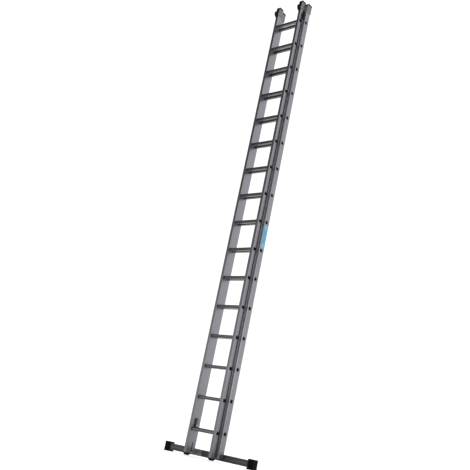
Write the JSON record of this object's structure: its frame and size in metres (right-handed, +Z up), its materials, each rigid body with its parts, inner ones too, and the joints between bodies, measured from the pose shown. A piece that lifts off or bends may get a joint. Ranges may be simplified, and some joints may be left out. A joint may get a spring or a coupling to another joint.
{
  "type": "extension ladder",
  "caption": "Two-section aluminium extension ladder with a stabiliser bar, rubber feet, hinged rung catches and wall wheels.",
  "frame": {"origin": "on the ground under the middle of the closed ladder", "axes": "+Z up along the stiles, X along the rungs, -Y towards the wheel side"},
  "size_m": [1.044, 0.224, 4.668],
  "materials": {
    "stile_aluminium": "mill-finished extrusion",
    "rung_aluminium": "ribbed extrusion",
    "bar_aluminium": "dark extrusion",
    "bracket_aluminium": "pressed sheet",
    "rivet_aluminium": "plain",
    "black_rubber": "moulded",
    "black_plastic": "moulded",
    "wheel_plastic": "moulded",
    "plated_steel": "zinc plated",
    "catch_steel": "dark plated",
    "blue_label": "gloss film"
  },
  "bodies": {
    "base": {"base_stile_left": "stile_aluminium", "base_stile_right": "stile_aluminium", "stabiliser_bar": "bar_aluminium", "bar_foot_left": "black_rubber", "bar_foot_right": "black_rubber", "bar_brackets": "bracket_aluminium", "bar_bolts": "plated_steel", "bar_nuts": "plated_steel", "bracket_screws": "plated_steel", "base_stile_plugs": "black_plastic", "base_top_brackets": "bracket_aluminium", "base_top_caps": "black_plastic", "top_guides": "black_plastic", "top_guide_rivets": "rivet_aluminium", "label": "blue_label", "base_rung_01": "rung_aluminium", "base_rung_02": "rung_aluminium", "base_rung_03": "rung_aluminium", "base_rung_04": "rung_aluminium", "base_rung_05": "rung_aluminium", "base_rung_06": "rung_aluminium", "base_rung_07": "rung_aluminium", "base_rung_08": "rung_aluminium", "base_rung_09": "rung_aluminium", "base_rung_10": "rung_aluminium", "base_rung_11": "rung_aluminium", "base_rung_12": "rung_aluminium", "base_rung_13": "rung_aluminium", "base_rung_14": "rung_aluminium", "base_rung_15": "rung_aluminium", "base_rung_16": "rung_aluminium"},
    "fly": {"fly_stile_left": "stile_aluminium", "fly_stile_right": "stile_aluminium", "fly_foot_left": "black_rubber", "fly_foot_right": "black_rubber", "wheel_brackets": "bracket_aluminium", "fly_top_caps": "black_plastic", "wheel_axles": "plated_steel", "foot_guides": "black_plastic", "catch_pins": "plated_steel", "fly_rung_01": "rung_aluminium", "fly_rung_02": "rung_aluminium", "fly_rung_03": "rung_aluminium", "fly_rung_04": "rung_aluminium", "fly_rung_05": "rung_aluminium", "fly_rung_06": "rung_aluminium", "fly_rung_07": "rung_aluminium", "fly_rung_08": "rung_aluminium", "fly_rung_09": "rung_aluminium", "fly_rung_10": "rung_aluminium", "fly_rung_11": "rung_aluminium", "fly_rung_12": "rung_aluminium", "fly_rung_13": "rung_aluminium", "fly_rung_14": "rung_aluminium", "fly_rung_15": "rung_aluminium", "fly_rung_16": "rung_aluminium"},
    "catch_left": {"rung_catch_left": "catch_steel"},
    "catch_right": {"rung_catch_right": "catch_steel"},
    "wheel_left": {"wall_wheel_left": "wheel_plastic"},
    "wheel_right": {"wall_wheel_right": "wheel_plastic"}
  },
  "joints": [
    {"name": "fly_slide", "type": "slide", "parent": "base", "child": "fly", "axis": [0, 0, 1], "range_m": [0, 3.36]},
    {"name": "catch_left_hinge", "type": "hinge", "parent": "fly", "child": "catch_left", "pos_m": [-0.125, -0.023, 0.262], "axis": [-1, 0, 0], "range_deg": [0, 90]},
    {"name": "catch_right_hinge", "type": "hinge", "parent": "fly", "child": "catch_right", "pos_m": [0.125, -0.023, 0.262], "axis": [-1, 0, 0], "range_deg": [0, 90]},
    {"name": "wheel_left_spin", "type": "hinge", "parent": "fly", "child": "wheel_left", "pos_m": [-0.146, -0.073, 4.575], "axis": [1, 0, 0], "continuous": true},
    {"name": "wheel_right_spin", "type": "hinge", "parent": "fly", "child": "wheel_right", "pos_m": [0.146, -0.073, 4.575], "axis": [1, 0, 0], "continuous": true}
  ]
}
